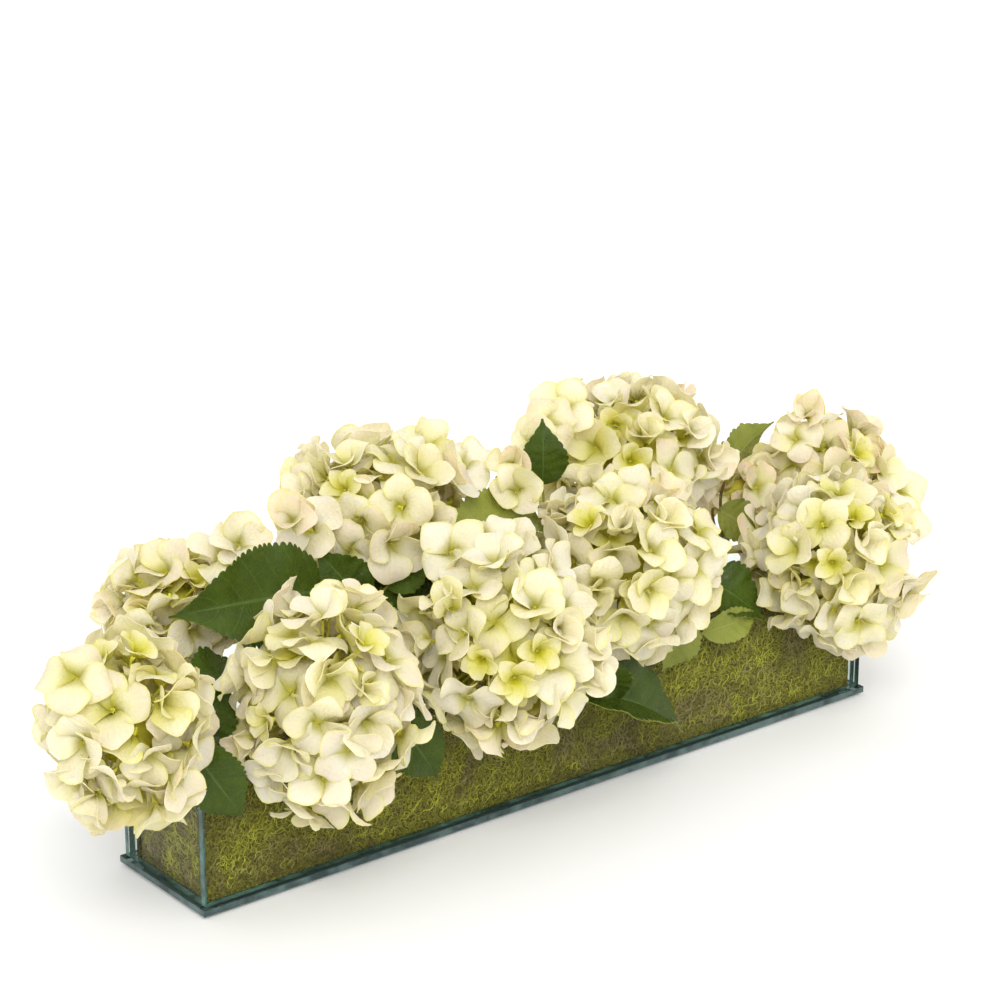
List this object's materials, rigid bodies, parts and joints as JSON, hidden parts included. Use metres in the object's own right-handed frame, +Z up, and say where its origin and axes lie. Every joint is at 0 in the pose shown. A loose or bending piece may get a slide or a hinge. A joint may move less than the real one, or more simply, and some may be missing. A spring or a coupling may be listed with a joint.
{
  "type": "flower arrangement in glass box",
  "caption": "Low glass trough lined with moss, planted with full cream-green silk hydrangea heads and serrated leaves that lean over its rims, as a table or sill centrepiece.",
  "frame": {"origin": "on the surface it stands on, under the middle of the trough", "axes": "+X along the trough, +Y to the back, away from the side the heads lean over most, +Z up"},
  "size_m": [0.8457, 0.291, 0.2857],
  "materials": {
    "glass": "clear float glass, polished, grey-green at the cut edges",
    "bumper": "clear soft bumper",
    "foam": "dry flower foam",
    "moss": "dried sheet moss, fine curly strands, yellow-green over brown",
    "foliage": "printed leaf cloth, matte, pale veins, olive underside",
    "petals": "silk petal cloth, cream to pale green, greener at the throat, blush at some rims"
  },
  "bodies": {
    "root": {"base_plate": "glass", "glass_front": "glass", "glass_back": "glass", "glass_left": "glass", "glass_right": "glass", "foot_01": "bumper", "foot_02": "bumper", "foot_03": "bumper", "foot_04": "bumper", "foam_block": "foam", "moss_front": "moss", "moss_back": "moss", "moss_left": "moss", "moss_right": "moss", "moss_cover": "moss", "stem_01": "foliage", "stem_02": "foliage", "stem_03": "foliage", "stem_04": "foliage", "stem_05": "foliage", "stem_06": "foliage", "stem_07": "foliage", "stem_08": "foliage", "stem_09": "foliage", "stem_10": "foliage", "head_01": "petals", "head_02": "petals", "head_03": "petals", "head_04": "petals", "head_05": "petals", "head_06": "petals", "head_07": "petals", "head_08": "petals", "head_09": "petals", "head_10": "petals"}
  },
  "joints": []
}
